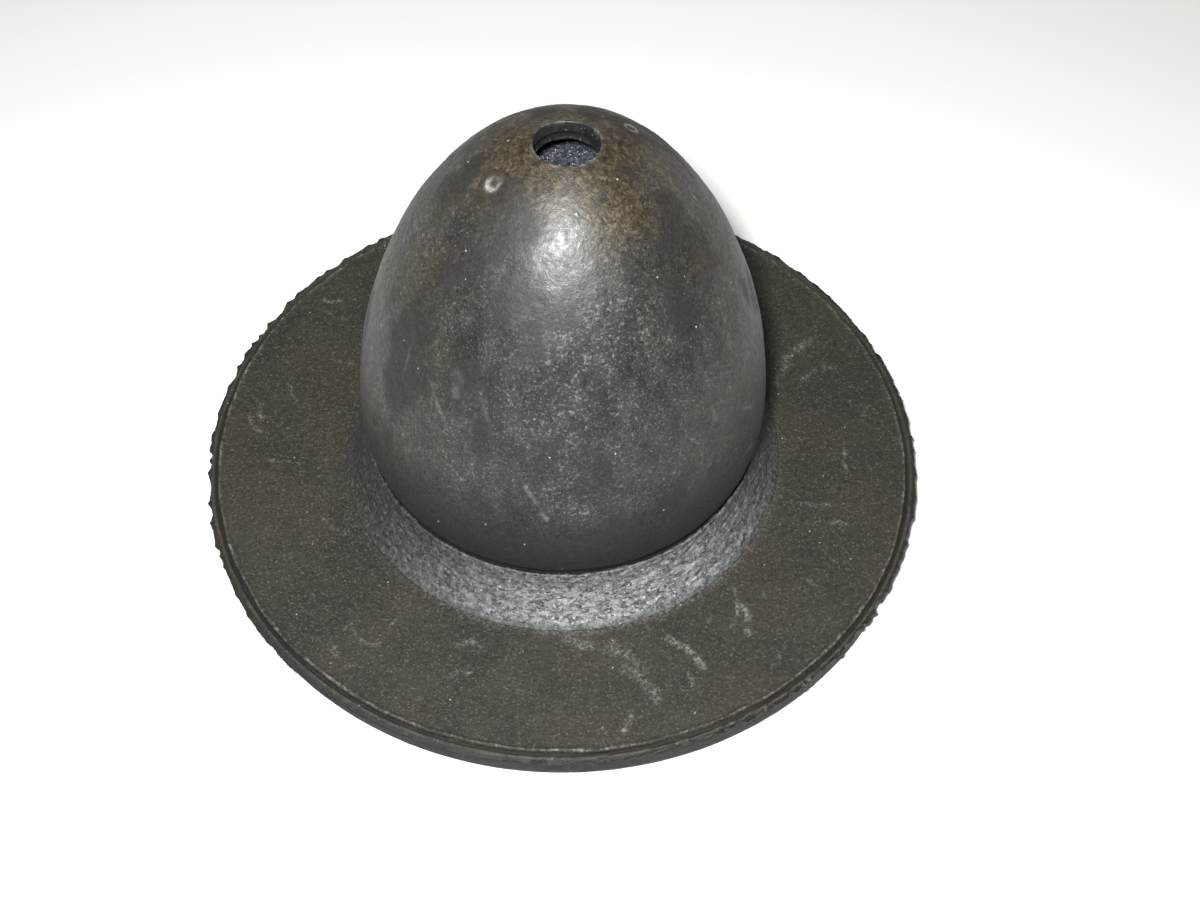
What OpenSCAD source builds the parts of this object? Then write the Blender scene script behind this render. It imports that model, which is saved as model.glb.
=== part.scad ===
// Rubber mooring post: a domed post on a wide flexible disc that is bonded down by its underside.
// Every piece is turned about the Z axis. Z = 0 is the underside of the disc, and lengths are in millimetres.

/* [Disc] */
// Thickness of the disc
disc_t = 10; // [8:0.5:14]
// Radius of the disc's upright rim
rim_r = 98.2; // [92:0.1:110]
// Radius that rounds the rim's lower edge
rim_round = 3; // [1:0.25:4]
// How far the moulding flash stands out from the rim
flash_w = 1.8; // [0.5:0.1:3]
// Thickness of the moulding flash
flash_t = 0.9; // [0.6:0.1:1.5]
// Depth of the flash below the top of the disc
flash_drop = 1; // [0.5:0.1:2]
// Width of the raised line just inside the flash
ridge_w = 1.2; // [0.8:0.1:2]
// Height of the raised line
ridge_h = 0.5; // [0.2:0.1:1]

/* [Post shell] */
// Largest outside radius of the post
post_r = 54.6; // [54:0.1:60]
// Height of the widest place above the top of the disc
post_belly = 25; // [20:1:30]
// Height of the dome's apex above the top of the disc
post_h = 117; // [100:1:140]
// Fullness of the dome: 2 is an ellipse, and less is more pointed
post_curve = 1.87; // [1.7:0.01:2.4]
// Outside radius where the post enters the collar
waist_r = 53; // [51:0.1:54]
// Wall thickness at the crown
crown_t = 4.2; // [3:0.1:6]
// Radius of the hole in the crown
bore_r = 8; // [5:0.5:12]
// Width of the turned-out foot, hidden in the collar
foot_w = 4; // [3:0.5:5]
// Thickness of the turned-out foot
foot_t = 3; // [2:0.5:4]

/* [Collar] */
// Height of the collar above the disc
collar_h = 15; // [12:0.5:16]
// Radius of the collar where it meets the disc
collar_r = 61; // [60:0.5:66]
// Width of the narrow land at the top of the collar
collar_land = 0.6; // [0.5:0.1:1.5]
// Hollowness of the collar's flank: 1 is a straight cone
collar_curve = 1.25; // [1:0.05:1.8]
// Thickness of the edge that the collar ends in on the disc
collar_edge = 0.8; // [0.4:0.1:1.5]
// Radius of the bead of cement in the seam above the collar
bead_r = 1.1; // [0.8:0.1:1.5]

/* [Core] */
// Radius of the core, which is also the inside of the shell
core_r = 48; // [46:0.5:49]
// Depth of the empty space between the washer and the core
chamber_h = 11; // [8:0.5:16]
// Radius of the core's foot, let into the underside of the disc
core_foot_r = 62; // [55:1:75]
// Thickness of the core's foot
core_foot_t = 4; // [3:0.5:5]
// Bevel round the top of the core
core_bevel = 2; // [1:0.5:4]

/* [Washer] */
// Outside radius of the washer under the crown
washer_r = 17; // [14:0.5:22]
// Thickness of the washer
washer_t = 2; // [1.5:0.1:3]
// Depth of the groove left between the washer and the shell at the bore
washer_groove = 0.4; // [0.2:0.1:0.6]

/* [Hidden] */
$fn = 96;
dome_steps = 40;
belly_steps = 6;
flank_steps = 10;

// Heights above the underside of the disc
disc_top = disc_t;
seam_z = disc_top + collar_h;
belly_z = disc_top + post_belly;
apex_z = disc_top + post_h;
flash_top = disc_top - flash_drop;
flash_low = flash_top - flash_t;

// The inside of the shell rises from the same height as the belly, and ends crown_t under the apex
outer_rise = apex_z - belly_z;
inner_rise = outer_rise - crown_t;
ridge_in = rim_r - flash_w - ridge_w;
washer_low = belly_z + dome_height(bore_r, core_r, inner_rise) - washer_t;
core_top = washer_low - chamber_h;

// One quarter of a superellipse of radius r and height h, from its widest point up to its apex
function dome_point(r, h, a) = [r * pow(cos(a), 2 / post_curve), h * pow(sin(a), 2 / post_curve)];
function dome_line(r, h) = [for (i = [0:dome_steps]) dome_point(r, h, 90 * i / dome_steps)];
function dome_height(x, r, h) = h * pow(1 - pow(x / r, post_curve), 1 / post_curve);

// The outside of the post from the waist to the belly, which it meets upright
function belly_point(t) = [
    waist_r + (post_r - waist_r) * (1 - pow(1 - t, 2)),
    seam_z + (belly_z - seam_z) * t
];
function belly_line() = [for (i = [0:belly_steps - 1]) belly_point(i / belly_steps)];

// The flank of the collar, from the land at its top to the edge on the disc
function flank_point(t) = [
    waist_r + collar_land + (collar_r - waist_r - collar_land) * pow(t, collar_curve),
    seam_z - (collar_h - collar_edge) * t
];
function flank_line() = [for (i = [0:flank_steps]) flank_point(i / flank_steps)];

// A profile lifted by z
function lifted(points, z) = [for (p = points) [p.x, p.y + z]];

module shell_outline() {
    polygon(concat(
        [[0, disc_top], [waist_r + foot_w, disc_top], [waist_r + foot_w, disc_top + foot_t]],
        [[waist_r, disc_top + foot_t]],
        belly_line(),
        lifted(dome_line(post_r, outer_rise), belly_z)
    ));
}

module inner_outline() {
    polygon(concat(
        [[0, 0], [core_r, 0]],
        lifted(dome_line(core_r, inner_rise), belly_z)
    ));
}

module collar_outline() {
    polygon(concat(
        [[waist_r, disc_top + foot_t], [waist_r, seam_z]],
        flank_line(),
        [[collar_r, disc_top], [waist_r + foot_w, disc_top], [waist_r + foot_w, disc_top + foot_t]]
    ));
}

module rim_outline() {
    translate([0, rim_round])
        square([rim_r, disc_top - rim_round]);
    square([rim_r - rim_round, rim_round]);
    translate([rim_r - rim_round, rim_round])
        circle(rim_round);
}

module base_disc() {
    color([0.29, 0.28, 0.24])
        rotate_extrude()
            difference() {
                union() {
                    difference() {
                        rim_outline();
                        translate([rim_r - flash_w, flash_top])
                            square([flash_w + 1, flash_drop + 1]);
                    }
                    translate([rim_r - flash_w, flash_low])
                        square([2 * flash_w, flash_t]);
                    translate([ridge_in, disc_top - 1])
                        square([ridge_w, ridge_h + 1]);
                }
                translate([-rim_r, -1])
                    square([rim_r + core_r, disc_t + 3]);
                translate([0, -1])
                    square([core_foot_r, core_foot_t + 1]);
            }
}

module foot_collar() {
    color([0.55, 0.56, 0.55])
        rotate_extrude()
            collar_outline();
}

module post_shell() {
    color([0.36, 0.36, 0.33])
        rotate_extrude()
            difference() {
                shell_outline();
                inner_outline();
                square([bore_r, apex_z + 1]);
            }
}

module seam_bead() {
    color([0.22, 0.21, 0.19])
        rotate_extrude()
            difference() {
                translate([waist_r + collar_land, seam_z])
                    circle(bead_r);
                shell_outline();
                collar_outline();
            }
}

module crown_washer() {
    color([0.2, 0.22, 0.22])
        rotate_extrude()
            difference() {
                intersection() {
                    inner_outline();
                    translate([bore_r, 0])
                        square([washer_r - bore_r, apex_z]);
                }
                translate([0, -washer_t])
                    inner_outline();
                translate([bore_r, washer_low + washer_t])
                    circle(washer_groove);
            }
}

module post_core() {
    color([0.3, 0.33, 0.36])
        rotate_extrude() {
            square([core_foot_r, core_foot_t]);
            intersection() {
                inner_outline();
                square([core_r, core_top - core_bevel]);
            }
            core_crown();
        }
}

// The top of the core, bevelled to a flat face
module core_crown() {
    intersection() {
        inner_outline();
        polygon([
            [0, core_top - core_bevel],
            [crown_edge_r(), core_top - core_bevel],
            [crown_edge_r() - core_bevel, core_top],
            [0, core_top]
        ]);
    }
}

// Radius of the shell's inside at the height where the bevel starts
function crown_edge_r() =
    core_r * pow(1 - pow((core_top - core_bevel - belly_z) / inner_rise, post_curve), 1 / post_curve);

base_disc();
foot_collar();
post_shell();
seam_bead();
crown_washer();
post_core();
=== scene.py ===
import itertools
import math

import bpy
import numpy as np
from mathutils import Matrix, Vector


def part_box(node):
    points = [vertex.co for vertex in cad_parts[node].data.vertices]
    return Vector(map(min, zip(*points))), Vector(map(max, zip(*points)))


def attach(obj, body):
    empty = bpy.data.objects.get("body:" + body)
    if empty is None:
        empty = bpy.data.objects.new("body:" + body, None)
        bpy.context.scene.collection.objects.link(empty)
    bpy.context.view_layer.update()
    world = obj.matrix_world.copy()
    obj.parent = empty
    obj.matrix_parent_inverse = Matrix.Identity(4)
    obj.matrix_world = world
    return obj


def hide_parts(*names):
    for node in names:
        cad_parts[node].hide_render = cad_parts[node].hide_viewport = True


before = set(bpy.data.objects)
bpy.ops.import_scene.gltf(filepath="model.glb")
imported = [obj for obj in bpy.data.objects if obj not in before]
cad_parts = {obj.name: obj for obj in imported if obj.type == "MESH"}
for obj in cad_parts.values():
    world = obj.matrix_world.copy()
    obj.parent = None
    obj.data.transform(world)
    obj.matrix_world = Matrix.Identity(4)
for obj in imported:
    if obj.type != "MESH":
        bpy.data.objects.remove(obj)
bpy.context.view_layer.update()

# The model's lengths are worked out in millimetres and stored in metres.
MM = 0.001
TURN = 2 * math.pi

# ---------------------------------------------------------------- sizes from the frame


def top_of(node):
    """Height of a node's highest point, in mm."""
    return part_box(node)[1].z / MM


def reach_of(node):
    """Largest radius of a node, in mm."""
    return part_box(node)[1].x / MM


RIDGE_TOP = top_of("base_disc")
COLLAR_R = reach_of("foot_collar")
SEAM_Z = top_of("foot_collar")
SHELL_FOOT_R = reach_of("post_shell")
CORE_TOP = top_of("post_core")
CORE_FOOT_R = reach_of("post_core")
WASHER_R = reach_of("crown_washer")

# Shape that the boxes don't hold, as in the design
DISC_TOP = 10.0
RIM_R = 98.2
CORE_R = 48.0
CORE_FOOT_T = 4.0
WAIST_R = 53.0
BELLY_R = 54.6
BELLY_Z = 35.0
APEX_Z = 127.0
CROWN_T = 4.2
DOME_CURVE = 1.87
BORE_R = 8.0
FOOT_T = 3.0
WASHER_T = 2.0
WASHER_GROOVE = 0.4
COLLAR_CURVE = 1.25

# ---------------------------------------------------------------- noise


def lattice(points, seed):
    """Smooth random values from -1 to 1, with one random value per unit cube of points."""
    cell = np.floor(points).astype(np.int64)
    part = points - cell
    fade = part * part * part * (part * (part * 6 - 15) + 10)
    total = np.zeros(points.shape[:-1])
    for corner in itertools.product((0, 1), repeat=3):
        at = cell + np.array(corner)
        mixed = at[..., 0] * 73856093 ^ at[..., 1] * 19349663 ^ at[..., 2] * 83492791
        mixed = (mixed ^ (seed * 2654435761)) & 0xFFFFFFFF
        mixed = ((mixed ^ (mixed >> 15)) * 2246822519) & 0xFFFFFFFF
        mixed = ((mixed ^ (mixed >> 13)) * 3266489917) & 0xFFFFFFFF
        value = ((mixed ^ (mixed >> 16)) & 0xFFFFFFFF) / 0x7FFFFFFF - 1
        weight = np.prod(np.where(np.array(corner) == 1, fade, 1 - fade), axis=-1)
        total += weight * value
    return total


def rough(points, size, seed, octaves=3):
    """Layered noise from about -1 to 1 whose largest lumps are size mm across."""
    total, gain = 0, 1.0
    for octave in range(octaves):
        total = total + gain * lattice(points * 2**octave / size, seed + octave)
        gain *= 0.5
    return total / 1.5


def ease(value, low, high):
    """0 below low, 1 above high, and smooth between."""
    share = np.clip((value - low) / (high - low), 0, 1)
    return share * share * (3 - 2 * share)


def near(angle, centre, width):
    """1 at the angle centre, falling away over width to each side, both in degrees from +X."""
    apart = np.angle(np.exp(1j * (angle - math.radians(centre))))
    return np.exp(-((apart / math.radians(width)) ** 2))


# ---------------------------------------------------------------- outlines and turned solids


def run(points, step):
    """Points at most step apart along a line, without its last one."""
    made = []
    for (r0, z0), (r1, z1) in zip(points, points[1:]):
        count = max(1, math.ceil(math.hypot(r1 - r0, z1 - z0) / step))
        made += [(r0 + (r1 - r0) * i / count, z0 + (z1 - z0) * i / count) for i in range(count)]
    return made


def arc(centre_r, centre_z, radius, start, end, count):
    """Points of an arc in an outline, from start to end in degrees."""
    turns = [math.radians(start + (end - start) * i / count) for i in range(count + 1)]
    return [(centre_r + radius * math.cos(a), centre_z + radius * math.sin(a)) for a in turns]


def dome_line(radius, rise, least_r, count):
    """The dome's outline from its belly up, as far as the radius least_r."""
    fine = []
    for i in range(4 * count + 1):
        a = math.pi / 2 * i / (4 * count)
        r = radius * math.cos(a) ** (2 / DOME_CURVE)
        z = BELLY_Z + rise * math.sin(a) ** (2 / DOME_CURVE)
        fine.append((r, z))
    return [p for p in fine if p[0] > least_r]


def even(points, step):
    """The same line with points step apart."""
    line = np.array(points)
    gone = np.concatenate([[0], np.cumsum(np.hypot(*np.diff(line, axis=0).T))])
    count = max(2, round(gone[-1] / step))
    at = np.linspace(0, gone[-1], count + 1)
    return list(zip(np.interp(at, gone, line[:, 0]), np.interp(at, gone, line[:, 1])))


def turned(name, outline, steps, move=None):
    """A closed mesh: an outline of (r, z) in mm turned about Z, anticlockwise with r to the right.
    An outline that starts and ends on the axis gets a point there; any other is a closed ring.
    move(points, angle) returns the moved points, an array of rings by steps by 3."""
    line = np.array(outline, float)
    poles = line[0, 0] == 0 and line[-1, 0] == 0
    body = line[1:-1] if poles else line
    angle = np.arange(steps) * TURN / steps
    points = np.stack([
        body[:, :1] * np.cos(angle),
        body[:, :1] * np.sin(angle),
        np.repeat(body[:, 1:], steps, axis=1),
    ], axis=-1)
    if move is not None:
        points = move(points, angle)
    rings = len(body)
    i = np.arange(rings - 1 if poles else rings)[:, None]
    j = np.arange(steps)[None, :]
    up, on = (i + 1) % rings, (j + 1) % steps
    faces = np.stack([i * steps + j, i * steps + on, up * steps + on, up * steps + j], -1)
    faces = faces.reshape(-1, 4).tolist()
    flat = points.reshape(-1, 3)
    if poles:
        low, high = rings * steps, rings * steps + 1
        first, last = 0, (rings - 1) * steps
        faces += [(low, first + (k + 1) % steps, first + k) for k in range(steps)]
        faces += [(high, last + k, last + (k + 1) % steps) for k in range(steps)]
        flat = np.concatenate([flat, [[0, 0, points[0, :, 2].mean()], [0, 0, points[-1, :, 2].mean()]]])
    mesh = bpy.data.meshes.new(name)
    mesh.from_pydata((flat * MM).tolist(), [], faces)
    mesh.polygons.foreach_set("use_smooth", np.ones(len(mesh.polygons), bool))
    mesh.update()
    piece = bpy.data.objects.new(name, mesh)
    bpy.context.scene.collection.objects.link(piece)
    return piece


def paint(piece, name, values):
    """Stores one number per point for the materials to read."""
    layer = piece.data.attributes.new(name, "FLOAT", "POINT")
    full = np.zeros(len(piece.data.vertices), np.float32)
    full[: values.size] = values.ravel()
    layer.data.foreach_set("value", full)


def places(piece):
    """The piece's points in mm."""
    co = np.zeros(len(piece.data.vertices) * 3, np.float32)
    piece.data.vertices.foreach_get("co", co)
    return co.reshape(-1, 3).astype(float) / MM


def stroke(spots, start, end, width):
    """1 on the straight stroke from start to end, falling to 0 at width to the side."""
    a, b = np.array(start, float), np.array(end, float)
    along = b - a
    share = np.clip((spots - a) @ along / max(along @ along, 1e-9), 0, 1)
    gap = np.linalg.norm(spots - a - share[:, None] * along, axis=1)
    return 1 - ease(gap, width * 0.1, width)


def strokes(spots, marks, seed):
    """The strongest of many bent marks: each is its points, its width and its strength."""
    third = np.zeros(len(spots)) if spots.shape[1] == 2 else spots[:, 2]
    at = np.stack([spots[:, 0], spots[:, 1], third], -1)
    drift = np.stack([rough(at, 4, seed + i, 2) for i in range(spots.shape[1])], -1)
    bent = spots + 0.9 * drift
    worn = 0.55 + 0.9 * rough(at, 2.2, seed + 9, 2)
    total = np.zeros(len(spots))
    for line, width, strength in marks:
        for start, end in zip(line, line[1:]):
            total = np.maximum(total, strength * stroke(bent, start, end, width))
    return total * np.clip(worn, 0, 1)


def finish_piece(piece, node, material):
    piece.data.materials.append(material)
    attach(piece, "root")
    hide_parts(node)


# ---------------------------------------------------------------- material building


class Nodes:
    """Short names for the shader nodes that the rubbers share."""

    def __init__(self, name):
        self.material = bpy.data.materials.new(name)
        self.material.use_nodes = True
        self.tree = self.material.node_tree
        self.shader = self.tree.nodes["Principled BSDF"]
        self.place = self.tree.nodes.new("ShaderNodeTexCoord").outputs["Object"]

    def link(self, a, b):
        self.tree.links.new(a, b)

    def flattened(self, share, rise=1.0):
        """Places squeezed sideways by share and upright by rise, which draws noise out that way."""
        node = self.tree.nodes.new("ShaderNodeMapping")
        node.inputs["Scale"].default_value = (share, share, rise)
        self.link(self.place, node.inputs["Vector"])
        return node.outputs["Vector"]

    def noise(self, size, detail=4.0, roughness=0.6, warp=0.0, at=None):
        """Cloudy noise whose lumps are about size mm across."""
        node = self.tree.nodes.new("ShaderNodeTexNoise")
        node.inputs["Scale"].default_value = 1 / (size * MM)
        node.inputs["Detail"].default_value = detail
        node.inputs["Roughness"].default_value = roughness
        node.inputs["Distortion"].default_value = warp
        self.link(at or self.place, node.inputs["Vector"])
        return node.outputs["Fac"]

    def specks(self, pitch, radius, share):
        """1 on dots of radius mm and 0 elsewhere, with a dot in that share of cells pitch mm wide."""
        node = self.tree.nodes.new("ShaderNodeTexVoronoi")
        node.inputs["Scale"].default_value = 1 / (pitch * MM)
        self.link(self.place, node.inputs["Vector"])
        dot = self.span(node.outputs["Distance"], radius / pitch * 1.25, radius / pitch * 0.6)
        split = self.tree.nodes.new("ShaderNodeSeparateColor")
        self.link(node.outputs["Color"], split.inputs["Color"])
        chosen = self.span(split.outputs["Red"], 1 - share, 1 - share * 0.6)
        return self.maths("MULTIPLY", dot, chosen)

    def span(self, value, low, high, to_low=0.0, to_high=1.0, smooth=False):
        node = self.tree.nodes.new("ShaderNodeMapRange")
        node.interpolation_type = "SMOOTHSTEP" if smooth else "LINEAR"
        node.inputs["From Min"].default_value = low
        node.inputs["From Max"].default_value = high
        node.inputs["To Min"].default_value = to_low
        node.inputs["To Max"].default_value = to_high
        self.link(value, node.inputs["Value"])
        return node.outputs["Result"]

    def maths(self, kind, a, b):
        node = self.tree.nodes.new("ShaderNodeMath")
        node.operation = kind
        for socket, value in zip(node.inputs, (a, b)):
            if isinstance(value, (int, float)):
                socket.default_value = value
            else:
                self.link(value, socket)
        return node.outputs["Value"]

    def mixed(self, share, low, high):
        """A colour that is low at share 0 and high at share 1; each is a colour or a socket."""
        node = self.tree.nodes.new("ShaderNodeMix")
        node.data_type = "RGBA"
        self.link(share, node.inputs["Factor"])
        for key, value in (("A", low), ("B", high)):
            socket = [s for s in node.inputs if s.name == key and s.type == "RGBA"][0]
            if isinstance(value, tuple):
                socket.default_value = (*value, 1)
            else:
                self.link(value, socket)
        return [s for s in node.outputs if s.type == "RGBA"][0]

    def tinted(self, share, colour, tint):
        """The colour multiplied by a tint where share is 1."""
        result = self.mixed(share, colour, tint)
        result.node.blend_type = "MULTIPLY"
        return result

    def painted(self, name):
        node = self.tree.nodes.new("ShaderNodeAttribute")
        node.attribute_name = name
        return node.outputs["Fac"]

    def bump(self, height, depth, under=None):
        """Surface relief depth mm deep."""
        node = self.tree.nodes.new("ShaderNodeBump")
        node.inputs["Strength"].default_value = 1.0
        node.inputs["Distance"].default_value = depth * MM
        self.link(height, node.inputs["Height"])
        if under is not None:
            self.link(under, node.inputs["Normal"])
        return node.outputs["Normal"]

    def done(self, colour, roughness, normal, gloss=0.5):
        self.link(colour, self.shader.inputs["Base Color"])
        self.link(roughness, self.shader.inputs["Roughness"])
        self.link(normal, self.shader.inputs["Normal"])
        self.shader.inputs["Specular IOR Level"].default_value = gloss
        return self.material


# Colours are linear
# pale colour of the scuffs, and of the painted highlights on the disc's raised line, its torn flash and the
# dome's scar
SCUFF_AND_HIGHLIGHT = (0.21, 0.205, 0.185)
RUST = (0.027, 0.0195, 0.0110)


def disc_rubber():
    n = Nodes("disc_rubber")
    cloud = n.span(n.noise(18, 5, 0.62), 0.36, 0.66, smooth=True)
    base = n.mixed(cloud, (0.0066, 0.0061, 0.0045), (0.0150, 0.0130, 0.0076))
    warm = n.span(n.noise(34, 3, 0.5, 0.6), 0.48, 0.72, 0, 0.75, smooth=True)
    base = n.mixed(warm, base, (0.0140, 0.0110, 0.0064))
    base = n.mixed(n.span(n.noise(2.0, 5, 0.72), 0.46, 0.62, 0, 0.55), base, (0.0225, 0.0196, 0.0118))
    base = n.mixed(n.span(n.noise(0.7, 3, 0.75), 0.56, 0.67, 0, 0.85), base, (0.066, 0.057, 0.036))
    base = n.mixed(n.span(n.noise(0.9, 3, 0.7), 0.34, 0.48, 0.85, 0), base, (0.0020, 0.0020, 0.0018))
    grain = n.span(n.noise(1.0, 5, 0.8), 0.46, 0.58)
    # scuffs, with the painted highlight on the raised line and the painted glints on the torn flash
    scuffs_and_highlights = n.maths("MULTIPLY", n.painted("scuffs_and_highlights"), n.maths("ADD", n.maths("MULTIPLY", grain, 0.95), 0.03))
    base = n.mixed(scuffs_and_highlights, base, SCUFF_AND_HIGHLIGHT)
    # dust, thickest at the front, where it is also painted front light
    dust_and_front_light = n.maths("MULTIPLY", n.painted("dust_and_front_light"), grain)
    base = n.mixed(dust_and_front_light, base, (0.13, 0.135, 0.14))
    base = n.mixed(n.maths("MULTIPLY", n.painted("smear"), 0.7), base, (0.010, 0.0065, 0.0032))
    base = n.mixed(n.specks(2.6, 0.22, 0.16), base, (0.22, 0.215, 0.19))
    base = n.mixed(n.painted("rust"), base, RUST)
    # painted shade in the groove, under the flash and on the upright wall
    base = n.mixed(n.maths("MULTIPLY", n.painted("shade"), 0.92), base, (0.0020, 0.0019, 0.0017))
    shine = n.span(n.noise(3, 3), 0.3, 0.7, 0.60, 0.74)
    shine = n.maths("SUBTRACT", shine, n.maths("MULTIPLY", n.painted("cut"), 0.28))
    relief = n.bump(n.noise(0.7, 4, 0.7), 0.34)
    relief = n.bump(n.noise(2.4, 3, 0.55), 0.16, relief)
    return n.done(base, shine, relief, 0.30)


def collar_rubber():
    n = Nodes("collar_rubber")
    cloud = n.span(n.noise(5, 4, 0.6), 0.35, 0.68)
    chalky = n.mixed(cloud, (0.115, 0.121, 0.124), (0.195, 0.202, 0.200))
    worms = n.noise(1.15, 4, 0.70, 0.7, n.flattened(0.62))
    chalky = n.mixed(n.span(worms, 0.40, 0.58), (0.022, 0.023, 0.024), chalky)
    chalky = n.mixed(n.span(n.noise(0.7, 3, 0.7), 0.56, 0.68, 0, 0.8), chalky, (0.36, 0.37, 0.37))
    bare = n.mixed(n.span(n.noise(1.0, 3, 0.7), 0.5, 0.7), (0.0085, 0.0078, 0.0062), (0.040, 0.036, 0.028))
    # chalky where painted; its spread is also painted light, bright at the front, shaded at the sides and
    # darker up the flank
    broken = n.maths("ADD", n.painted("chalk_and_painted_light"), n.span(n.noise(1.1, 4, 0.7), 0.3, 0.7, -0.22, 0.22))
    base = n.mixed(n.span(broken, 0.08, 0.95), bare, chalky)
    shine = n.span(n.noise(2, 3), 0.3, 0.7, 0.58, 0.75)
    relief = n.bump(n.noise(0.7, 4, 0.7, 0.6, n.flattened(0.5)), 0.32)
    return n.done(base, shine, relief, 0.4)


def shell_rubber():
    n = Nodes("shell_rubber")
    cloud = n.noise(24, 6, 0.62, 0.4)
    cloudy = n.span(cloud, 0.38, 0.62, smooth=True)
    base = n.mixed(cloudy, (0.0026, 0.0030, 0.0031), (0.0098, 0.0099, 0.0086))
    blotch = n.span(n.noise(5.5, 6, 0.68, 0.5, n.flattened(1.0, 0.45)), 0.43, 0.64)
    base = n.mixed(n.maths("MULTIPLY", blotch, 0.65), base, (0.0215, 0.0210, 0.0182))
    base = n.mixed(n.maths("MULTIPLY", n.painted("brown"), 0.7), base, (0.0175, 0.0135, 0.0070))
    # pale flecks, which crowd together in clouds
    crowd = n.maths("ADD", n.maths("MULTIPLY", cloud, 0.70), n.maths("MULTIPLY", blotch, 0.12))
    crowd = n.maths("ADD", crowd, n.painted("pale"))
    fleck = n.maths("ADD", n.noise(0.95, 4, 0.72), n.maths("MULTIPLY", crowd, 0.42))
    base = n.mixed(n.span(fleck, 0.75, 0.90, 0, 0.95), base, (0.105, 0.102, 0.088))
    base = n.mixed(n.span(n.noise(0.55, 3, 0.75), 0.57, 0.68, 0, 0.8), base, (0.070, 0.068, 0.058))
    base = n.mixed(n.span(n.noise(1.1, 3, 0.72), 0.34, 0.48, 0.9, 0), base, (0.0016, 0.0016, 0.0016))
    # the brown parts are mottled light and dark
    light = n.span(n.noise(1.9, 6, 0.8, 0.4), 0.51, 0.60, 0, 0.85)
    base = n.mixed(n.maths("MULTIPLY", light, n.painted("brown")), base, (0.048, 0.046, 0.038))
    deep = n.span(n.noise(2.6, 5, 0.75, 0.5), 0.38, 0.47, 0.9, 0)
    base = n.mixed(n.maths("MULTIPLY", deep, n.painted("brown")), base, (0.0018, 0.0018, 0.0018))
    base = n.tinted(n.painted("brown"), base, (1.0, 0.84, 0.58))
    # painted shade at the dome's foot, on its lower right and on the bore's wall, with the dark streaks
    base = n.mixed(n.maths("MULTIPLY", n.painted("dark"), 0.92), base, (0.0018, 0.0017, 0.0016))
    grain = n.span(n.noise(0.8, 4, 0.75), 0.38, 0.58, 0.25, 1)
    # scuffs, with the painted highlight on the scar's ring
    base = n.mixed(n.maths("MULTIPLY", n.painted("scuffs_and_highlights"), grain), base, SCUFF_AND_HIGHLIGHT)
    base = n.mixed(n.specks(3.2, 0.24, 0.14), base, (0.26, 0.26, 0.24))
    bore_specks = n.maths("MULTIPLY", n.specks(0.9, 0.15, 0.4), n.painted("bore"))
    base = n.mixed(bore_specks, base, (0.20, 0.21, 0.22))
    shine = n.span(n.noise(1.4, 4, 0.7), 0.3, 0.7, 0.37, 0.60)
    shine = n.maths("ADD", shine, n.maths("MULTIPLY", n.painted("dark"), 0.22))
    relief = n.bump(n.noise(0.8, 3, 0.6), 0.095)
    relief = n.bump(n.noise(2.6, 3, 0.5), 0.09, relief)
    return n.done(base, shine, relief, 0.43)


def seam_cement():
    n = Nodes("seam_cement")
    bits = n.span(n.noise(1.4, 4, 0.7), 0.50, 0.66)
    base = n.mixed(bits, (0.004, 0.0038, 0.0034), (0.055, 0.054, 0.050))
    relief = n.bump(n.noise(0.6, 3, 0.6), 0.12)
    return n.done(base, n.span(n.noise(1.5, 2), 0.3, 0.7, 0.5, 0.7), relief, 0.4)


def washer_rubber():
    n = Nodes("washer_rubber")
    cloud = n.span(n.noise(1.6, 4, 0.7), 0.40, 0.68)
    base = n.mixed(cloud, (0.003, 0.0032, 0.0032), (0.014, 0.0146, 0.0140))
    base = n.mixed(n.specks(0.7, 0.16, 0.5), base, (0.11, 0.12, 0.12))
    # painted shadow on the washer's top and worn edge
    base = n.mixed(n.maths("MULTIPLY", n.painted("painted_shadow"), 0.95), base, (0.0012, 0.0012, 0.0012))
    relief = n.bump(n.noise(0.6, 3, 0.6), 0.35)
    return n.done(base, n.span(n.noise(1.5, 2), 0.3, 0.7, 0.75, 0.9), relief, 0.14)


def core_rubber():
    n = Nodes("core_rubber")
    cloud = n.span(n.noise(1.0, 4, 0.75), 0.42, 0.62)
    base = n.mixed(cloud, (0.0045, 0.0053, 0.0070), (0.036, 0.040, 0.048))
    base = n.mixed(n.specks(0.6, 0.14, 0.6), base, (0.30, 0.32, 0.34))
    relief = n.bump(n.noise(0.6, 3, 0.6), 0.10)
    return n.done(base, n.span(n.noise(1.5, 2), 0.3, 0.7, 0.6, 0.8), relief, 0.3)


# ---------------------------------------------------------------- the disc

# The larger rubs on top of the disc: angle from +X and radius of the middle, length, the way that it
# runs, width and strength
DISC_RUBS = [
    (-80, 70, 22, -25, 3.4, 0.42),
    (-75, 80, 14, -50, 3.2, 0.36),
    (-65, 75, 12, -45, 1.6, 0.75),
    (-50, 70, 12, -95, 0.9, 0.75),
    (-50, 75, 8, -85, 1.6, 0.60),
    (-80, 90, 8, -110, 1.3, 0.65),
    (-110, 70, 8, -5, 1.3, 0.45),
    (25, 75, 20, 55, 2.0, 0.34),
    (20, 80, 12, 20, 1.6, 0.30),
]
# How far a rub on the disc bows out at its middle, as a share of its length
RUB_BEND = 0.14
# The fine scratches, scattered over the whole disc: how many, and the range of their lengths in mm
DISC_SCRATCHES = 34
DISC_SCRATCH_LENGTH = (2.0, 9.0)
# The range of the fine scratches' widths in mm and of their strengths, on the disc and on the dome
SCRATCH_WIDTH = (0.6, 1.1)
SCRATCH_STRENGTH = (0.25, 0.55)
DISC_STEPS = 1080
# How much painted shade darkens the rim's upright wall
WALL_SHADE = 0.8
# Where the trimming knife slipped and tore the flash, in degrees from +X, and over what width
TORN_AT = -58
TORN_OVER = 36
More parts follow.
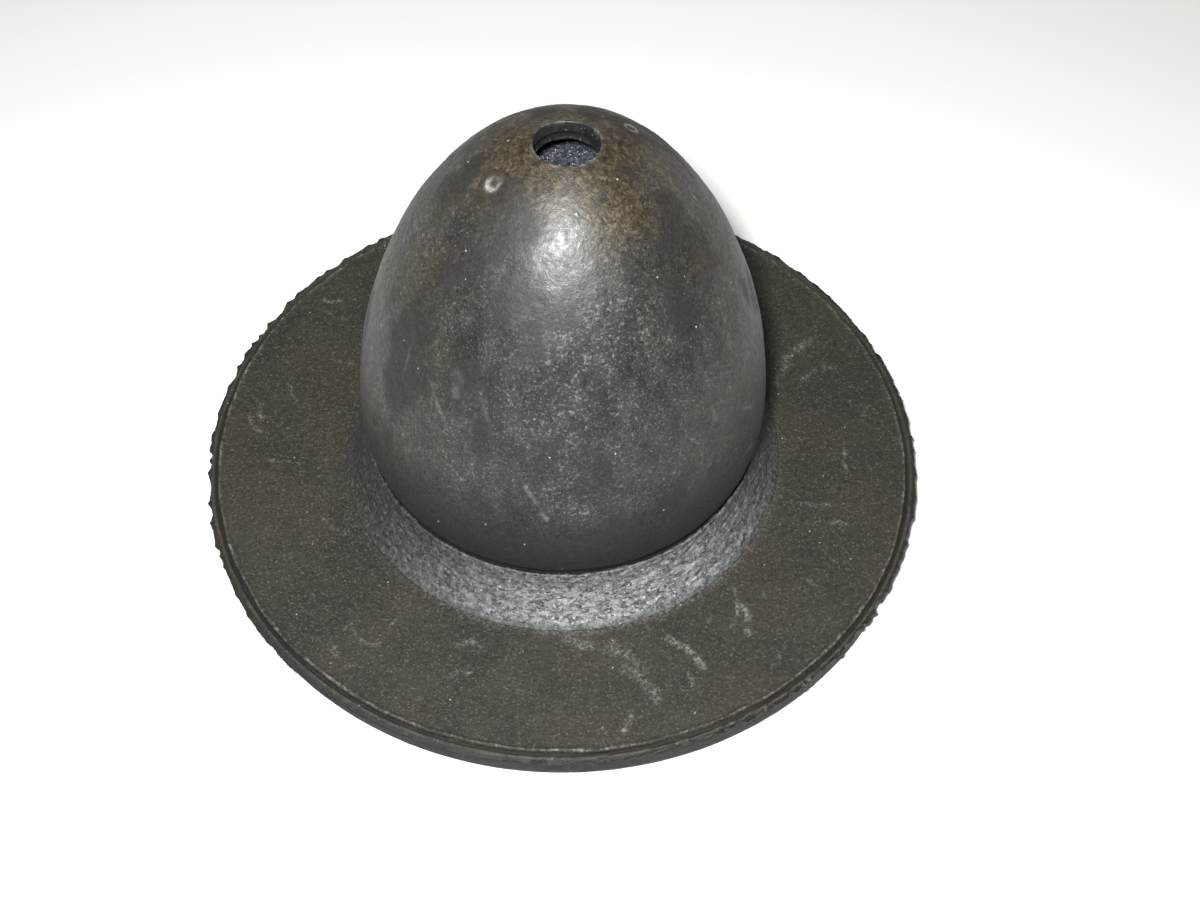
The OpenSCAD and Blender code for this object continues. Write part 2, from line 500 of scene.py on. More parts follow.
# Where the bites round the rim are deeper, and where they are shallower: angle and width in degrees
DEEP_BACK = (125, 55)
DEEP_LEFT = (190, 25)
SHALLOW_FRONT = (232, 24)
# The brown smear on top of the disc: its two ends as (x, y), and its width, in mm
SMEAR = ((70, 22), (80, 30), 9)


def rub(turn, radius, length, heading, width, strength):
    """A mark on the disc's top: three points of a slightly bent line, its width and its strength."""
    middle = radius * np.array([math.cos(math.radians(turn)), math.sin(math.radians(turn))])
    way = np.array([math.cos(math.radians(heading)), math.sin(math.radians(heading))])
    aside = np.array([-way[1], way[0]])
    line = [middle - way * length / 2, middle + aside * length * RUB_BEND, middle + way * length / 2]
    return line, width, strength


def disc_marks():
    """The larger rubs, and fine scratches at random places."""
    marks = [rub(*values) for values in DISC_RUBS]
    rng = np.random.default_rng(68)
    for _ in range(DISC_SCRATCHES):
        turn = rng.uniform(0, 360)
        radius = rng.uniform(COLLAR_R + 6, RIM_R - 6)
        length = rng.uniform(*DISC_SCRATCH_LENGTH)
        heading = rng.uniform(0, 180)
        width = rng.uniform(*SCRATCH_WIDTH)
        marks.append(rub(turn, radius, length, heading, width, rng.uniform(*SCRATCH_STRENGTH)))
    return marks


def scallops(angle, pitch, seed):
    """The bites that a trimming knife leaves round the rim: their depth from 0 to 1 at every angle,
    and a random number for each bite."""
    rng = np.random.default_rng(seed)
    lengths = rng.uniform(0.45, 1.6, round(TURN * RIM_R / pitch))
    ends = np.cumsum(lengths) / lengths.sum() * TURN
    which = np.searchsorted(ends, angle, side="right")
    starts = np.concatenate([[0], ends[:-1]])
    through = (angle - starts[which]) / (ends[which] - starts[which])
    depth = rng.uniform(0.25, 1.0, len(lengths))[which] * 4 * through * (1 - through)
    return depth, rng.uniform(-1, 1, len(lengths))[which]


def disc_outline():
    flash = [
        (RIM_R, 7.1), (RIM_R + 0.25, 7.7), (RIM_R + 0.7, 8.0), (RIM_R + 1.2, 8.15),
        (RIM_R + 1.5, 8.4), (RIM_R + 1.45, 8.7), (RIM_R + 1.0, 8.95), (RIM_R + 0.5, 9.15),
    ]
    lip = [(RIM_R + 0.15, 9.45), (RIM_R - 0.2, 9.65), (RIM_R - 0.6, 9.55)]
    groove = [(RIM_R - 0.85, 8.95), (RIM_R - 1.05, 8.8), (RIM_R - 1.3, 8.85)]
    ridge = [
        (RIM_R - 1.5, 9.6), (RIM_R - 1.7, 10.3), (RIM_R - 2.0, RIDGE_TOP - 0.05),
        (RIM_R - 2.4, 10.3), (RIM_R - 2.8, 10.08), (RIM_R - 3.2, DISC_TOP),
    ]
    return (
        run([(CORE_R, CORE_FOOT_T), (CORE_FOOT_R + 0.2, CORE_FOOT_T), (CORE_FOOT_R + 0.2, 0.4)], 4)
        + run([(CORE_FOOT_R + 0.2, 0.4), (CORE_FOOT_R + 0.6, 0)], 0.5)
        + run([(CORE_FOOT_R + 0.6, 0), (RIM_R - 3, 0)], 1.5)
        + arc(RIM_R - 3, 3, 3, -90, 0, 8)[:-1]
        + run([(RIM_R, 3), (RIM_R, 7.2)], 0.7)
        + flash + lip + groove + ridge
        + run([(RIM_R - 3.8, DISC_TOP), (COLLAR_R - 3, DISC_TOP)], 0.7)
        + run([(COLLAR_R - 3, DISC_TOP), (CORE_R, DISC_TOP), (CORE_R, CORE_FOOT_T)], 4)
    )


def disc_shape(points, angle):
    """Trims and tears the flash, breaks up the raised line and lets the top undulate."""
    r = np.hypot(points[..., 0], points[..., 1])
    z = points[..., 2]
    out = points[..., :2] / np.maximum(r, 1e-9)[..., None]
    # the flash, cut in long uneven bites with smaller nicks in them
    bite, kind = scallops(angle, 6.4, 11)
    nick, nick_kind = scallops(angle, 2.3, 12)
    chunk, chunk_kind = scallops(angle, 3.6, 13)
    torn = near(angle, TORN_AT, TORN_OVER)
    deep = 0.45 + 0.75 * np.maximum(near(angle, *DEEP_BACK), near(angle, *DEEP_LEFT))
    deep = deep * (1 - 0.7 * near(angle, *SHALLOW_FRONT))
    tip = ease(r, RIM_R + 0.1, RIM_R + 1.3) * ease(z, 7.3, 8.2)
    pull = 0.45 - 1.15 * deep * bite - 0.25 * nick + 0.25 * kind
    pull = pull - torn * (0.7 + 0.7 * chunk + 0.4 * chunk_kind)
    shift = tip * np.minimum(pull, 0.5)
    lift = tip * (0.18 * nick_kind + torn * (0.7 * chunk_kind - 0.6 * chunk))
    # knife facets under the tip
    face = ease(z, 6.2, 7.4) * (1 - ease(z, 8.6, 9.2)) * ease(r, RIM_R - 0.3, RIM_R + 0.1)
    shift = shift + face * torn * (0.9 * chunk_kind + 0.6 * nick_kind)
    # the raised line and the lip beyond its groove, never quite even
    line = ease(r, RIM_R - 3.2, RIM_R - 2.4) * (1 - ease(r, RIM_R - 1.3, RIM_R - 0.9)) * ease(z, 9, 9.6)
    lift = lift + line * (0.22 * rough(points, 3.0, 21) - 0.10)
    shift = shift + line * 0.35 * rough(points, 9, 25)
    lip = ease(r, RIM_R - 0.9, RIM_R - 0.4) * ease(z, 9.0, 9.5)
    lift = lift + lip * (0.22 * rough(points, 3, 31) + torn * 0.5 * nick_kind)
    # the side wall and the top
    side = ease(r, RIM_R - 1, RIM_R) * (1 - ease(z, 6.8, 7.4)) * ease(z, 0.8, 3)
    shift = shift + side * 0.14 * rough(points, 5, 41)
    top = ease(z, DISC_TOP - 0.3, DISC_TOP - 0.05) * ease(r, COLLAR_R - 2, COLLAR_R + 2)
    lift = lift + top * (0.05 * rough(points, 2.6, 51) + 0.12 * rough(points, 26, 52, 2))
    moved = points.copy()
    moved[..., :2] += out * shift[..., None]
    moved[..., 2] += lift
    return moved


def make_disc():
    piece = turned("disc", disc_outline(), DISC_STEPS, disc_shape)
    at = places(piece)
    r = np.hypot(at[:, 0], at[:, 1])
    angle = np.arctan2(at[:, 1], at[:, 0])
    on_top = ease(at[:, 2], 9.2, 9.8)
    # the raised line is painted pale in broken dots, partly rubbing and partly a painted highlight along its
    # crest, with a rusty lip beyond its groove
    crest = ease(at[:, 2], DISC_TOP + 0.12, DISC_TOP + 0.4) * ease(r, RIM_R - 2.7, RIM_R - 2.2)
    crest = crest * (0.35 + 0.65 * ease(rough(at, 2.0, 62, 2), -0.2, 0.4))
    lip = ease(at[:, 2], 9.3, 9.6) * ease(r, RIM_R - 0.8, RIM_R - 0.4)
    ragged = ease(rough(at, 2.4, 63, 2), 0.0, 0.4) * ease(r, RIM_R - 0.3, RIM_R + 0.1)
    scuffs_and_highlights = np.maximum(strokes(at[:, :2], disc_marks(), 64), np.maximum(0.6 * crest, 0.55 * lip * ragged))
    # painted glints: pale spots on the facets where the flash is torn
    torn = near(angle, TORN_AT, TORN_OVER + 8)
    facet = ease(r, RIM_R - 0.3, RIM_R + 0.3) * ease(at[:, 2], 6.4, 7.4) * torn
    painted_glints = 0.6 * facet * ease(rough(at, 1.6, 69, 2), 0.25, 0.55)
    paint(piece, "scuffs_and_highlights", np.maximum(scuffs_and_highlights * on_top, painted_glints))
    fringe = np.exp(-(((r - RIM_R + 3.6) / 1.8) ** 2)) * ease(rough(at, 7, 66, 2), -0.3, 0.4)
    broken_lip = lip * ease(rough(at, 5, 67, 2), -0.5, 0.3)
    paint(piece, "rust", np.maximum(0.55 * broken_lip, 0.14 * fringe * on_top))
    # chalky dust carried off the collar fades out over the disc; lying thickest at the front, it is also
    # painted front light
    spread = 1 - ease(r + 0.8 * rough(at, 4, 65, 2), COLLAR_R - 1.5, COLLAR_R + 2.6)
    paint(piece, "dust_and_front_light", 0.75 * spread * on_top * chalk_and_front_light(angle))
    smear = stroke(at[:, :2], *SMEAR) * on_top * ease(rough(at, 7, 61), -0.4, 0.5)
    paint(piece, "smear", smear)
    paint(piece, "cut", facet)
    # painted shade: dark in the groove, under the flash's tip, most where it is torn, and on the upright wall
    groove = np.exp(-(((r - RIM_R + 1.1) / 0.45) ** 2))
    groove = groove * ease(at[:, 2], 8.6, 8.7) * (1 - ease(at[:, 2], 9.7, 10.0))
    under = ease(r, RIM_R - 0.2, RIM_R + 0.2) * ease(at[:, 2], 6.4, 7.2) * (1 - ease(at[:, 2], 9.1, 9.4))
    under = under * (0.85 + 0.15 * torn)
    wall = WALL_SHADE * ease(r, RIM_R - 0.6, RIM_R - 0.1) * (1 - ease(at[:, 2], 6.2, 7.2))
    paint(piece, "shade", np.maximum.reduce([groove, under, wall]))
    finish_piece(piece, "base_disc", disc_rubber())


# ---------------------------------------------------------------- the collar

COLLAR_STEPS = 1200
COLLAR_TOP_R = WAIST_R + 0.6
# The flare that runs out on the disc: how far it reaches past the flank, and how soon it dies away
FLARE = 1.9
FLARE_RISE = 1.1
# The collar's chalky skin, whose spread is also painted light, bright at the front and shaded at the sides:
# its least thickness, how much more lies at the front, and where that is, as an angle and a width in degrees
CHALK_AND_LIGHT_LEAST = 0.07
CHALK_AND_LIGHT_MORE = 0.89
CHALK_AND_LIGHT_AT = (-73, 50)
# Where the collar's skin is wrinkled: angle and width in degrees
WRINKLED_AT = (-48, 26)


def chalk_and_front_light(angle):
    """How chalky the collar is round its flank: thick at the front and worn off elsewhere, which is also
    painted light, bright at the front and shaded at the sides.
    """
    return CHALK_AND_LIGHT_LEAST + CHALK_AND_LIGHT_MORE * near(angle, *CHALK_AND_LIGHT_AT)


def collar_outline():
    height = SEAM_Z - DISC_TOP
    flank = []
    for i in range(41):
        h = height * (i / 40) ** 1.4
        slope = (COLLAR_R - COLLAR_TOP_R - FLARE) * (1 - h / height) ** COLLAR_CURVE
        flank.append((COLLAR_TOP_R + slope + FLARE * math.exp(-h / FLARE_RISE), DISC_TOP + h))
    step_z = DISC_TOP + FOOT_T
    return (
        run([(SHELL_FOOT_R, DISC_TOP), (COLLAR_R, DISC_TOP)], 1)
        + even(flank, 0.33)
        + run([(WAIST_R + 0.3, SEAM_Z), (WAIST_R, SEAM_Z - 0.3), (WAIST_R, step_z)], 2)
        + run([(WAIST_R, step_z), (SHELL_FOOT_R, step_z), (SHELL_FOOT_R, DISC_TOP)], 2)
    )


def collar_shape(points, angle):
    """Buffs the flank into a rough skin with lengthwise wrinkles."""
    r = np.hypot(points[..., 0], points[..., 1])
    z = points[..., 2]
    flank = ease(r, WAIST_R + 0.1, WAIST_R + 0.7) * ease(z, DISC_TOP + 0.1, DISC_TOP + 1.6)
    around = np.broadcast_to(angle * WAIST_R, r.shape)
    # lengthwise worms: coordinates stretched round the post
    worm_at = np.stack([around / 2.4, z, 0 * z], -1)
    worm = 1 - 2 * np.abs(rough(worm_at, 1.6, 71, 2))
    grit = rough(points, 1.0, 72, 2)
    wrinkled = near(angle, *WRINKLED_AT)
    wrinkle = np.sin(z * 3.2 + 5.0 * rough(points, 7, 73)) * wrinkled
    wrinkle = wrinkle * ease(rough(points, 9, 76), -0.4, 0.4)
    push = flank * (0.20 * worm + 0.16 * grit + 0.20 * wrinkle + 0.28 * rough(points, 14, 74))
    moved = points.copy()
    moved[..., :2] += points[..., :2] / np.maximum(r, 1e-9)[..., None] * (push * 0.75)[..., None]
    moved[..., 2] += push * 0.5
    edge = ease(z, SEAM_Z - 1.2, SEAM_Z) * ease(r, WAIST_R + 0.2, WAIST_R + 0.5)
    moved[..., 2] += edge * 0.5 * rough(points, 2.6, 75)
    return moved


def make_collar():
    piece = turned("collar", collar_outline(), COLLAR_STEPS, collar_shape)
    at = places(piece)
    angle = np.arctan2(at[:, 1], at[:, 0])
    height = at[:, 2] - DISC_TOP
    blend = ease(height + 0.5 * rough(at, 2.5, 81), 0.1, 1.6)
    # painted shade: the upper flank is painted less chalky and darker than its foot
    worn = 1 - 0.38 * ease(height + 1.5 * rough(at, 6, 82), 7, 13.5)
    # chalky skin, painted bright at the front and shaded at the sides as front light
    paint(piece, "chalk_and_painted_light", (0.35 + 0.65 * blend) * worn * chalk_and_front_light(angle))
    finish_piece(piece, "foot_collar", collar_rubber())


# ---------------------------------------------------------------- the post's shell

SHELL_STEPS = 720
# The skin pulls in just above the seam, by this much, and soon comes out again
SEAM_PINCH = 1.0
SEAM_PINCH_RISE = 2.2
# The moulded dome leans a little, by these shares of its height
LEAN_X = 0.009
LEAN_Y = 0.010
# Marks on the dome: angle from +X in degrees, height, and radius in mm
SCAR = (-155, 120, 1.6)
CHIP = (35, 120, 1.6)
PALE_PATCH = (-90, 55, 8.0)
# The larger rubs on the dome: angle and height of the upper end, how far round and down it runs,
# width and strength
DOME_RUBS = [
    (-140, 125, 5, 1, 0.8, 0.80),
    (-135, 80, 10, 10, 0.7, 0.55),
    (-145, 85, 0, 10, 0.6, 0.60),
    (-125, 85, 0, 5, 2.4, 0.50),
    (-30, 60, 5, 5, 0.8, 0.55),
    (-20, 95, 5, 5, 1.2, 0.50),
    (-100, 60, 5, 10, 1.0, 0.45),
    (-75, 110, 20, 5, 0.8, 0.35),
]
# How far the dark streaks are drawn out down the dome: 1 is not at all
STREAK_RISE = 0.45
# The fine scratches on the dome: how many, and the range of their heights in mm, of how far round
# they run in degrees and of how far down in mm
DOME_SCRATCHES = 30
DOME_SCRATCH_HEIGHT = (32, 116)
DOME_SCRATCH_ROUND = (-6, 6)
DOME_SCRATCH_DOWN = (-2, 7)
# Where the dome is brown, where painted shade darkens it, where it is flecked, and where the crown sinks:
# angle and width in degrees
BROWN_LEFT = (200, 28)
BROWN_RIGHT = (-18, 26)
# painted shade on the dome's lower right
DARK_RIGHT = (-12, 34)
FLECKED_FRONT = (-88, 30)
SUNKEN_BACK = (90, 55)


def dome_rub(turn, height, round_by, down_by, width, strength):
    """A mark on the dome: three points from its upper end on, its width and its strength."""
    line = [on_dome(turn + round_by * share, height - down_by * share) for share in (0, 0.5, 1)]
    return line, width, strength


def dome_marks():
    """The larger rubs, and fine scratches at random places."""
    marks = [dome_rub(*values) for values in DOME_RUBS]
    rng = np.random.default_rng(108)
    for _ in range(DOME_SCRATCHES):
        turn = rng.uniform(0, 360)
        height = rng.uniform(*DOME_SCRATCH_HEIGHT)
        round_by = rng.uniform(*DOME_SCRATCH_ROUND)
        down_by = rng.uniform(*DOME_SCRATCH_DOWN)
        width = rng.uniform(*SCRATCH_WIDTH)
        marks.append(dome_rub(turn, height, round_by, down_by, width, rng.uniform(*SCRATCH_STRENGTH)))
    return marks


def lean(points, way=1):
    """Leans points of the dome, or with way -1 stands them upright again."""
    moved = points.copy()
    height = np.maximum(points[..., 2] - SEAM_Z, 0)
    moved[..., 0] += way * LEAN_X * height
    moved[..., 1] += way * LEAN_Y * height
    return moved


def shell_outline():
    flank = []
    for i in range(25):
        t = i / 24
        full = WAIST_R + (BELLY_R - WAIST_R) * (1 - (1 - t) ** 2)
        z = SEAM_Z + (BELLY_Z - SEAM_Z) * t
        flank.append((full - SEAM_PINCH * math.exp(-(z - SEAM_Z) / SEAM_PINCH_RISE), z))
    outer = even(flank + dome_line(BELLY_R, APEX_Z - BELLY_Z, BORE_R + 0.35, 60)[1:], 0.5)
    inner = dome_line(CORE_R, APEX_Z - CROWN_T - BELLY_Z, BORE_R, 20)
    mouth_z = outer[-1][1]
    throat_z = inner[-1][1]
    return (
        run([(CORE_R, DISC_TOP), (SHELL_FOOT_R, DISC_TOP), (SHELL_FOOT_R, DISC_TOP + FOOT_T)], 3)
        + run([(SHELL_FOOT_R, DISC_TOP + FOOT_T), (WAIST_R, DISC_TOP + FOOT_T), (WAIST_R, SEAM_Z - 4)], 2)
        + run([(WAIST_R, SEAM_Z - 4), flank[0]], 1)
        + outer
        + arc(BORE_R + 0.35, mouth_z - 0.3, 0.35, 80, 180, 4)
        + run([(BORE_R, mouth_z - 0.5), (BORE_R, throat_z + 0.2)], 0.4)
        + inner[::-1]
        + run([(CORE_R, BELLY_Z), (CORE_R, DISC_TOP)], 4)
    )


def dome_radius(height, radius, apex):
    """Radius of the dome's outer or inner skin at each height."""
    share = np.clip((height - BELLY_Z) / (apex - BELLY_Z), 0, 1)
    return radius * (1 - share**DOME_CURVE) ** (1 / DOME_CURVE)


def dome_height(r, radius, apex):
    """Height of the dome's outer or inner skin at each radius."""
    return BELLY_Z + (apex - BELLY_Z) * (1 - (r / radius) ** DOME_CURVE) ** (1 / DOME_CURVE)


def on_dome(turn, height):
    """The point of the dome at an angle in degrees and a height."""
    r = dome_radius(height, BELLY_R, APEX_Z)
    return np.array([r * math.cos(math.radians(turn)), r * math.sin(math.radians(turn)), height])


def spot(at, mark):
    """Distance in mm of each point from a mark on the dome."""
    return np.linalg.norm(at - on_dome(*mark[:2]), axis=-1)


def shell_shape(points, angle):
    """Gives the dome faint lumps, the scar and the chip, sinks the crown behind the bore, roughens the
    bore's wall and leans it all."""
    r = np.hypot(points[..., 0], points[..., 1])
    z = points[..., 2]
    skin = ease(r, BORE_R + 0.2, BORE_R + 1.5) * ease(z, SEAM_Z + 1, SEAM_Z + 4)
    outer = (r > dome_radius(z, CORE_R, APEX_Z - CROWN_T) + 0.6).astype(float)
    push = 0.16 * rough(points, 9, 91) + 0.35 * rough(points, 45, 92, 2) + 0.03 * rough(points, 2.2, 93, 2)
    scar = spot(points, SCAR)
    push = push + 0.34 * np.exp(-(((scar - SCAR[2]) / 0.5) ** 2)) - 0.12 * np.exp(-((scar / 0.9) ** 2))
    chip = spot(points, CHIP)
    push = push - 0.5 * np.exp(-((chip / 1.0) ** 2)) + 0.2 * np.exp(-(((chip - CHIP[2]) / 0.4) ** 2))
    push = push * skin * outer
    axis = np.stack([points[..., 0], points[..., 1], (z - BELLY_Z) * 0.35], -1)
    axis /= np.maximum(np.linalg.norm(axis, axis=-1), 1e-9)[..., None]
    moved = points + axis * push[..., None]
    dip = np.exp(-(((r - BORE_R) / 5.0) ** 2)) * near(angle, *SUNKEN_BACK) * ease(z, APEX_Z - 5.5, APEX_Z - 3)
    moved[..., 2] -= 1.0 * dip * outer
    bore = (1 - ease(r, BORE_R + 0.1, BORE_R + 0.8)) * ease(z, APEX_Z - 6.5, APEX_Z - 5)
    moved[..., :2] += (bore * 0.10 * rough(points, 1.4, 94, 2))[..., None] * points[..., :2] / BORE_R
    return lean(moved)


def make_shell():
    piece = turned("shell", shell_outline(), SHELL_STEPS, shell_shape)
    at = lean(places(piece), -1)
    r = np.hypot(at[:, 0], at[:, 1])
    angle = np.arctan2(at[:, 1], at[:, 0])
    z = at[:, 2]
    crown = ease(z + 5 * rough(at, 9, 101), 108, 122) * ease(r, BORE_R + 0.2, BORE_R + 1.0)
    sides = np.maximum(near(angle, *BROWN_LEFT), near(angle, *BROWN_RIGHT))
    sides = sides * ease(rough(at, 16, 105), -0.5, 0.3)
    paint(piece, "brown", np.maximum(crown, 0.9 * sides))
    # painted shade: the dome darkens towards its foot at the seam
    foot = 1 - ease(z + 3.0 * rough(at, 12, 102), SEAM_Z + 7, SEAM_Z + 32)
    # the bore's wall, which gets painted shade and pale specks
    bore = (1 - ease(r, BORE_R - 0.1, BORE_R + 0.5)) * ease(z, APEX_Z - 8, APEX_Z - 7)
    # painted shade on the dome's lower right
    flank = near(angle, *DARK_RIGHT) * (1 - ease(z + 6 * rough(at, 14, 106), 42, 78))
    # dark streaks that run down the dome
    drawn = at * np.array([1, 1, STREAK_RISE])
    streak = ease(rough(drawn, 13, 107, 4), 0.02, 0.55) * ease(r, BORE_R + 2, BORE_R + 6)
    # painted shade at the foot, on the lower right and on the bore's wall, with the dark streaks
    paint(piece, "dark", np.maximum.reduce([foot, 0.85 * flank, 0.6 * bore, 0.75 * streak]))
    paint(piece, "bore", bore)
    patch = np.exp(-((spot(at, PALE_PATCH[:2]) / PALE_PATCH[2]) ** 2))
    front = near(angle, *FLECKED_FRONT) * ease(z, 62, 80) * (1 - ease(z, 96, 108))
    # fewer pale flecks at the foot, under its painted shade
    paint(piece, "pale", 0.24 * patch + 0.10 * front - 0.45 * foot)
    mouth = np.exp(-(((r - BORE_R - 0.25) / 0.4) ** 2)) * ease(z, APEX_Z - 4, APEX_Z - 2)
    mouth = mouth * ease(rough(at, 1.8, 103, 2), -0.2, 0.5)
    # painted highlight: the scar's raised ring is painted pale, most on its lower half
    scar = np.exp(-(((spot(at, SCAR) - SCAR[2]) / 0.6) ** 2)) * (0.15 + 0.85 * ease(SCAR[1] - z, -0.3, 0.5))
    chip = np.exp(-(((spot(at, CHIP) - CHIP[2]) / 0.35) ** 2))
    marks = strokes(at, dome_marks(), 104) * ease(r, dome_radius(z, CORE_R, APEX_Z - CROWN_T), BELLY_R)
    paint(piece, "scuffs_and_highlights", np.maximum.reduce([0.3 * mouth, 1.2 * scar, 0.7 * chip, marks]))
    finish_piece(piece, "post_shell", shell_rubber())


# ---------------------------------------------------------------- bead, washer and core

# The bead: the radius and height of its middle line, and the radius of its round section, in mm
BEAD_RING_R = WAIST_R + 0.15
BEAD_RING_Z = SEAM_Z - 0.5
BEAD_SECTION_R = 0.8
BEAD_STEPS = 900
# The washer and the core show only through the hole, so they need fewer steps
INNER_STEPS = 288


def bead_shape(points, angle):
    """Squeezes the bead thick and thin, so that it is ragged."""
    out = np.stack([np.cos(angle), np.sin(angle)], -1)[None]
    rings = points.shape[:2]
    ring = np.broadcast_to(out * BEAD_RING_R, (*rings, 2))
    mid = np.concatenate([ring, np.full((*rings, 1), BEAD_RING_Z)], -1)
    swell = 0.55 + 0.5 * rough(mid, 5, 111) + 0.4 * rough(mid, 1.4, 112) + 0.25 * rough(points, 0.8, 113)
    return mid + (points - mid) * np.clip(swell, 0.2, 1.2)[..., None]


def make_bead():
    piece = turned("bead", arc(BEAD_RING_R, BEAD_RING_Z, BEAD_SECTION_R, 0, 330, 11), BEAD_STEPS, bead_shape)
    finish_piece(piece, "seam_bead", seam_cement())


# The washer's upper inner edge is worn off by this much
WASHER_EDGE = 0.8


def washer_shape(points, angle):
    """Roughens the washer and leans it with the dome."""
    return lean(points + 0.10 * rough(points, 1.2, 121)[..., None])


def make_washer():
    rise = [BORE_R + WASHER_EDGE + (WASHER_R - BORE_R - WASHER_EDGE) * i / 8 for i in range(9)]
    top = [(r, dome_height(r, CORE_R, APEX_Z - CROWN_T) - WASHER_GROOVE) for r in rise]
    low = [(r, dome_height(r, CORE_R, APEX_Z - CROWN_T) - WASHER_T) for r in rise]
    high_z, low_z = top[0][1], low[0][1]
    outline = (
        low
        + top[::-1]
        + run([top[0], (BORE_R, high_z - WASHER_EDGE), (BORE_R, low_z + 0.25)], 0.25)[1:]
        + [(BORE_R, low_z + 0.25)]
    )
    piece = turned("washer", outline, INNER_STEPS, washer_shape)
    # painted shadow: near black over the washer's top and its worn upper edge, in the shade of the shell's
    # bore wall
    worn_z = high_z - WASHER_EDGE
    paint(piece, "painted_shadow", ease(lean(places(piece), -1)[:, 2], worn_z, worn_z + 0.3))
    finish_piece(piece, "crown_washer", washer_rubber())


def core_shape(points, angle):
    """Makes the core's top a little uneven."""
    top = ease(points[..., 2], CORE_TOP - 1, CORE_TOP)
    moved = points.copy()
    moved[..., 2] += top * 0.12 * rough(points, 1.6, 131)
    return moved


def make_core():
    side = [p for p in dome_line(CORE_R, APEX_Z - CROWN_T - BELLY_Z, 0, 30) if p[1] < CORE_TOP - 2]
    edge_r = side[-1][0]
    foot = [
        (2, 0), (CORE_FOOT_R - 0.4, 0), (CORE_FOOT_R, 0.4), (CORE_FOOT_R, CORE_FOOT_T), (CORE_R, CORE_FOOT_T),
    ]
    outline = (
        [(0, 0)]
        + run(foot, 2)
        + run([(CORE_R, CORE_FOOT_T), (CORE_R, BELLY_Z)], 4)
        + side
        + run([(edge_r - 0.3, CORE_TOP - 1.2), (edge_r - 2, CORE_TOP), (1, CORE_TOP)], 0.8)
        + [(0, CORE_TOP)]
    )
    piece = turned("core", outline, INNER_STEPS, core_shape)
    finish_piece(piece, "post_core", core_rubber())


# ---------------------------------------------------------------- stage, light and camera

# The camera: its lens, sensor and distance in mm, and its angles in degrees
CAMERA_LENS = 55.16
CAMERA_SENSOR = 36.0
CAMERA_ELEVATION = 52.5
CAMERA_DISTANCE = 520.1
CAMERA_PAN = 1.15
CAMERA_TILT = 0.10
# The flash beside the lens: its place in mm, its size and aim in metres and its power in watts
FLASH_ABOVE_LENS = 36.0
FLASH_LEFT_OF_LENS = 30.0
FLASH_SIZE = 0.045
FLASH_POWER = 8.8
FLASH_AIM = (0, 0, 0.04)
FLASH_COLOUR = (0.97, 0.985, 1.0)
WARM_WHITE = (1.0, 0.96, 0.90)
WARMER_WHITE = (1.0, 0.95, 0.88)
# The other lights: name, place and aim in metres, size in metres, power in watts, and colour
STUDIO_LIGHTS = [
    ("overhead", (0.0, 0.2, 2.0), (0, 0, 0.05), 2.0, 7.0, WARM_WHITE),
    ("back_-1", (-1.0, 0.7, 0.14), (0, 0, 0.06), 0.7, 2.4, WARMER_WHITE),
    ("back_1", (1.0, 0.7, 0.14), (0, 0, 0.06), 0.7, 2.4, WARMER_WHITE),
    ("back_fill", (0.0, 1.2, 0.14), (0, 0, 0.05), 0.8, 1.2, WARM_WHITE),
]
WORLD_GLOW = 0.20
# The floor's half width in metres, and its colour
FLOOR_HALF = 3.0
FLOOR_COLOUR = (0.55, 0.545, 0.53)


def aim_matrix():
    """The camera's place and turn: it looks at the centre of the disc's top, then pans and tilts
    about its own axes, which keeps the post upright in the picture."""
    up = math.radians(CAMERA_ELEVATION)
    place = Vector((0, -math.cos(up), math.sin(up))) * CAMERA_DISTANCE + Vector((0, 0, DISC_TOP))
    look = Matrix.Rotation(math.pi / 2 - up, 4, "X")
    pan = Matrix.Rotation(math.radians(-CAMERA_PAN), 4, "Y")
    tilt = Matrix.Rotation(math.radians(-CAMERA_TILT), 4, "X")
    return Matrix.Translation(place * MM) @ look @ (pan @ tilt)


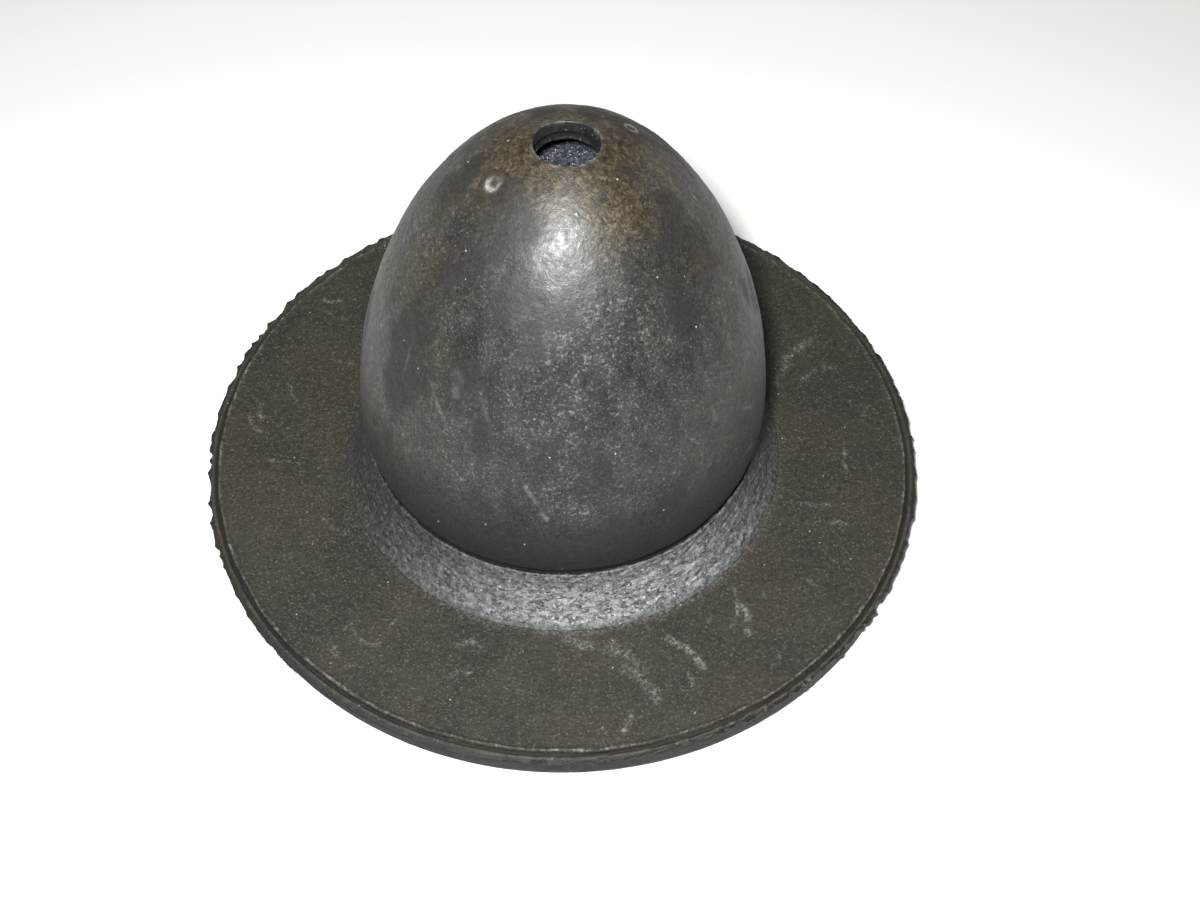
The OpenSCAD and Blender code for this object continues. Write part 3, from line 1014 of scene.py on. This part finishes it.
def make_camera():
    data = bpy.data.cameras.new("camera")
    data.lens = CAMERA_LENS
    data.sensor_width = CAMERA_SENSOR
    data.clip_start = 0.02
    data.clip_end = 20
    camera = bpy.data.objects.new("camera", data)
    bpy.context.scene.collection.objects.link(camera)
    camera.matrix_world = aim_matrix()
    bpy.context.scene.camera = camera
    return camera


def area_light(name, place, target, size, power, colour):
    data = bpy.data.lights.new(name, "AREA")
    data.shape = "DISK"
    data.size = size
    data.energy = power
    data.color = colour
    lamp = bpy.data.objects.new(name, data)
    bpy.context.scene.collection.objects.link(lamp)
    lamp.location = place
    lamp.rotation_euler = (Vector(target) - Vector(place)).to_track_quat("-Z", "Y").to_euler()


def make_stage(camera):
    """A plain pale floor, the world's glow, the flash and the studio lights."""
    mesh = bpy.data.meshes.new("floor")
    corners = [(x * FLOOR_HALF, y * FLOOR_HALF, 0) for x, y in ((-1, -1), (1, -1), (1, 1), (-1, 1))]
    mesh.from_pydata(corners, [], [(0, 1, 2, 3)])
    floor = bpy.data.objects.new("floor", mesh)
    bpy.context.scene.collection.objects.link(floor)
    pale = bpy.data.materials.new("floor_pale")
    pale.use_nodes = True
    shader = pale.node_tree.nodes["Principled BSDF"]
    shader.inputs["Base Color"].default_value = (*FLOOR_COLOUR, 1)
    shader.inputs["Roughness"].default_value = 0.9
    shader.inputs["Specular IOR Level"].default_value = 0.2
    mesh.materials.append(pale)
    world = bpy.data.worlds.new("studio")
    world.use_nodes = True
    background = world.node_tree.nodes["Background"]
    background.inputs["Color"].default_value = (*WARM_WHITE, 1)
    background.inputs["Strength"].default_value = WORLD_GLOW
    bpy.context.scene.world = world
    flash_place = camera.matrix_world @ Vector((-FLASH_LEFT_OF_LENS * MM, FLASH_ABOVE_LENS * MM, 0))
    area_light("key", flash_place, FLASH_AIM, FLASH_SIZE, FLASH_POWER, FLASH_COLOUR)
    for light in STUDIO_LIGHTS:
        area_light(*light)
    bpy.context.scene.view_settings.view_transform = "Standard"


camera = make_camera()
make_disc()
make_collar()
make_shell()
make_bead()
make_washer()
make_core()
make_stage(camera)
